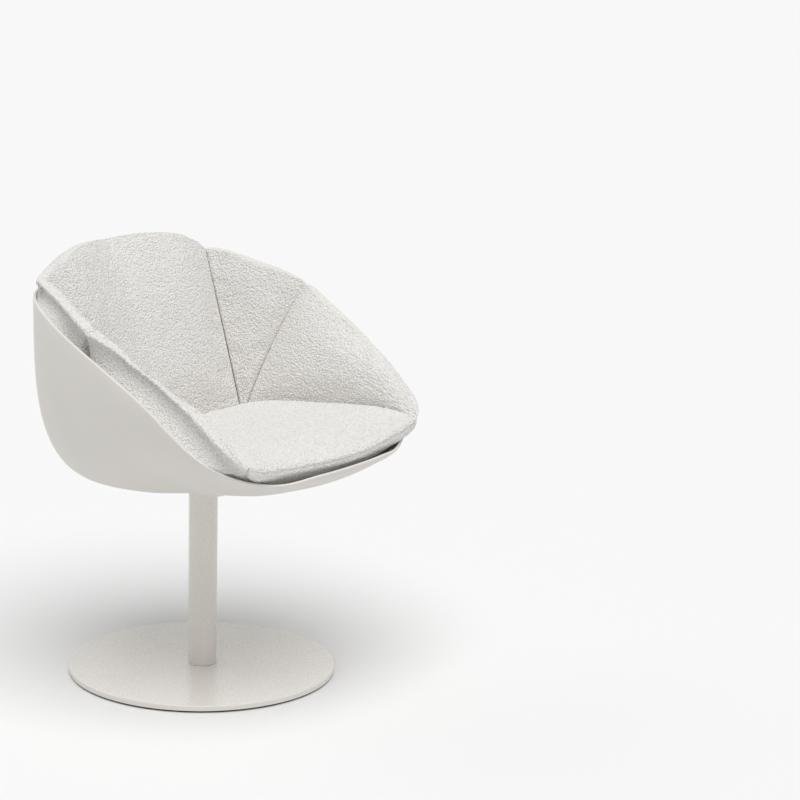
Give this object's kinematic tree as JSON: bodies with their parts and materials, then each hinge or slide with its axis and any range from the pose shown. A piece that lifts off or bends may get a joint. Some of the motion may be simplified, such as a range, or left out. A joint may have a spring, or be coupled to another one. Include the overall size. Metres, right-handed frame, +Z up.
{
  "type": "pedestal swivel armchair",
  "caption": "Tub armchair with a folded panel cushion in a moulded shell that swivels on a steel column and a round flat base.",
  "frame": {"origin": "on the floor at the centre of the base, on the swivel axis", "axes": "+Z up along the column, the chair faces -Y, +X is the sitter's left"},
  "size_m": [0.6778, 0.6439, 0.7887],
  "materials": {
    "powder_coated_steel": "matte warm greige powder coat",
    "bare_steel": "zinc plated or turned steel, out of sight",
    "underlay": "dark needle felt floor underlay",
    "bearing_plastic": "self-lubricating nylon, out of sight",
    "shell": "moulded tub, matte warm greige",
    "foam": "upholstery foam, out of sight",
    "upholstery": "off-white nubbly boucle over wadding"
  },
  "bodies": {
    "pedestal": {"base_underlay": "underlay", "base_disc": "powder_coated_steel", "base_screw_1": "bare_steel", "base_screw_2": "bare_steel", "base_screw_3": "bare_steel", "column_foot_plug": "bare_steel", "column_tube": "powder_coated_steel", "swivel_housing": "bare_steel", "lower_bush": "bearing_plastic", "upper_bush": "bearing_plastic", "thrust_washer": "bearing_plastic"},
    "seat": {"swivel_spindle": "bare_steel", "retainer_washer": "bare_steel", "retaining_ring": "bare_steel", "mounting_plate": "powder_coated_steel", "plate_bolt_1": "bare_steel", "plate_washer_1": "bare_steel", "shell_insert_1": "bare_steel", "plate_bolt_2": "bare_steel", "plate_washer_2": "bare_steel", "shell_insert_2": "bare_steel", "plate_bolt_3": "bare_steel", "plate_washer_3": "bare_steel", "shell_insert_3": "bare_steel", "plate_bolt_4": "bare_steel", "plate_washer_4": "bare_steel", "shell_insert_4": "bare_steel", "seat_shell": "shell", "seat_foam_block": "foam", "seat_foam": "foam", "seat_cover": "upholstery", "back_foam": "foam", "back_cover": "upholstery", "wedge_left_foam": "foam", "wedge_left_cover": "upholstery", "arm_left_foam": "foam", "arm_left_cover": "upholstery", "wedge_right_foam": "foam", "wedge_right_cover": "upholstery", "arm_right_foam": "foam", "arm_right_cover": "upholstery"}
  },
  "joints": [
    {"name": "seat_swivel", "type": "hinge", "parent": "pedestal", "child": "seat", "pos_m": [0, 0, 0.37], "axis": [0, 0, 1], "continuous": true}
  ]
}
